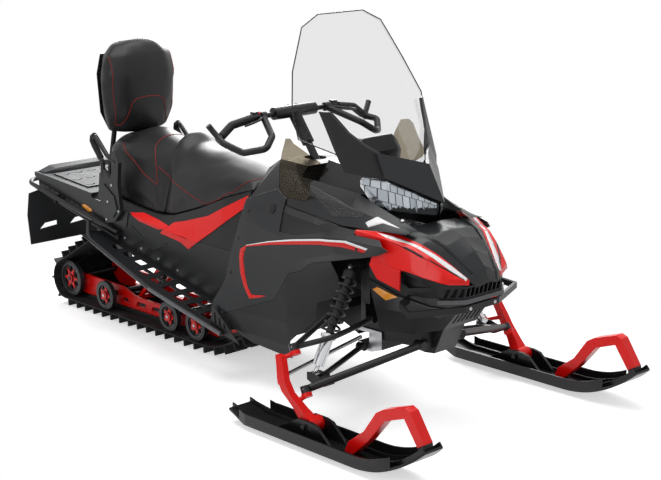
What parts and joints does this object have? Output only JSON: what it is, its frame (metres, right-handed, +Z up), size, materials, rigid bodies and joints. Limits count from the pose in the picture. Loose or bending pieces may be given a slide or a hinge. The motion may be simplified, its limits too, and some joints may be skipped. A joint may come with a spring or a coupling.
{
  "type": "two-seat utility snowmobile",
  "caption": "Two-seat utility snowmobile with a long track, twin steerable skis, tall screen, backrest and cargo deck.",
  "frame": {"origin": "centre of the bounding box at the snow's level, on the vehicle's middle plane", "axes": "+X forward, +Y to the vehicle's left, +Z up"},
  "size_m": [3.12, 1.35, 1.534],
  "materials": {
    "black_plastic": "fine grain",
    "charcoal_plastic": "fine grain",
    "red_plastic": "gloss",
    "frame_black": "satin",
    "tunnel_metal": "satin",
    "bare_aluminium": "satin",
    "red_metal": "semi-gloss",
    "silver_damper": "satin",
    "black_steel": "satin",
    "track_rubber": "matte",
    "grip_rubber": "matte",
    "wheel_plastic": "satin",
    "slide_plastic": "satin",
    "ski_plastic": "semi-gloss",
    "seat_vinyl": "soft grain",
    "flap_rubber": "matte",
    "clear_screen": "clear",
    "smoked_screen": "smoked",
    "lamp_lens": "clear",
    "amber_lens": "amber"
  },
  "bodies": {
    "chassis": {"backrest_frame": "black_plastic", "backrest_pad": "seat_vinyl", "belly_pan": "charcoal_plastic", "bulkhead": "bare_aluminium", "cargo_deck": "charcoal_plastic", "drive_axle": "black_steel", "driver_seat": "seat_vinyl", "engine_block": "black_steel", "front_bumper": "frame_black", "front_fascia": "black_plastic", "grab_handles": "charcoal_plastic", "headlamp_cowl": "charcoal_plastic", "headlamps": "lamp_lens", "hood": "charcoal_plastic", "instrument_housing": "black_plastic", "lower_arms": "black_steel", "lower_panels": "black_plastic", "nose_panels": "red_plastic", "passenger_seat": "seat_vinyl", "rail_slides": "slide_plastic", "rear_bumper": "frame_black", "rear_idlers": "wheel_plastic", "reflectors": "amber_lens", "running_board_left": "tunnel_metal", "running_board_right": "tunnel_metal", "screen_posts": "black_plastic", "seat_base": "black_plastic", "shocks": "silver_damper", "side_panel_left": "charcoal_plastic", "side_panel_right": "charcoal_plastic", "side_trim": "red_plastic", "skid_arms": "red_metal", "skid_axles": "black_steel", "skid_rails": "red_metal", "skid_shocks": "silver_damper", "skid_wheels": "wheel_plastic", "snow_flap": "flap_rubber", "springs": "black_steel", "tank_cover": "black_plastic", "toe_guards": "black_plastic", "track": "track_rubber", "tunnel": "tunnel_metal", "upper_arms": "black_steel", "upper_panels": "charcoal_plastic", "vent_panels": "black_plastic", "wind_deflectors": "smoked_screen", "windshield": "clear_screen"},
    "handlebar": {"handlebar": "frame_black", "grips": "grip_rubber", "hand_guards": "black_plastic"},
    "spindle_right": {"spindle_right": "red_metal"},
    "ski_right": {"ski_right": "ski_plastic", "ski_loop_right": "red_plastic"},
    "tie_rod_right": {"tie_rod_right": "silver_damper"},
    "spindle_left": {"spindle_left": "red_metal"},
    "ski_left": {"ski_left": "ski_plastic", "ski_loop_left": "red_plastic"},
    "tie_rod_left": {"tie_rod_left": "silver_damper"}
  },
  "joints": [
    {"name": "steering_turn", "type": "hinge", "parent": "chassis", "child": "handlebar", "pos_m": [0.185, 0, 1.106], "axis": [-0.5992, 0, 0.8006], "range_deg": [-36, 36]},
    {"name": "ski_steer_right", "type": "hinge", "parent": "chassis", "child": "spindle_right", "pos_m": [0.872, -0.566, 0.196], "axis": [-0.5054, 0.1203, 0.8544], "range_deg": [-27, 27]},
    {"name": "ski_tilt_right", "type": "hinge", "parent": "spindle_right", "child": "ski_right", "pos_m": [0.94, -0.59, 0.084], "axis": [0, 1, 0], "range_deg": [-12, 12]},
    {"name": "tie_rod_right", "type": "slide", "parent": "chassis", "child": "tie_rod_right", "axis": [0.0641, -0.9822, 0.1763], "range_m": [-0.0506, 0.0506]},
    {"name": "ski_steer_left", "type": "hinge", "parent": "chassis", "child": "spindle_left", "pos_m": [0.872, 0.566, 0.196], "axis": [-0.5054, -0.1203, 0.8544], "range_deg": [-27, 27]},
    {"name": "ski_tilt_left", "type": "hinge", "parent": "spindle_left", "child": "ski_left", "pos_m": [0.94, 0.59, 0.084], "axis": [0, 1, 0], "range_deg": [-12, 12]},
    {"name": "tie_rod_left", "type": "slide", "parent": "chassis", "child": "tie_rod_left", "axis": [0.0641, 0.9822, 0.1763], "range_m": [-0.0506, 0.0506]}
  ],
  "couplings": [
    {"joint": "ski_steer_right", "follows": "steering_turn", "ratio": 0.75},
    {"joint": "tie_rod_right", "follows": "steering_turn", "m_per_rad": 0.079708},
    {"joint": "ski_steer_left", "follows": "steering_turn", "ratio": 0.75},
    {"joint": "tie_rod_left", "follows": "steering_turn", "m_per_rad": -0.079708}
  ]
}
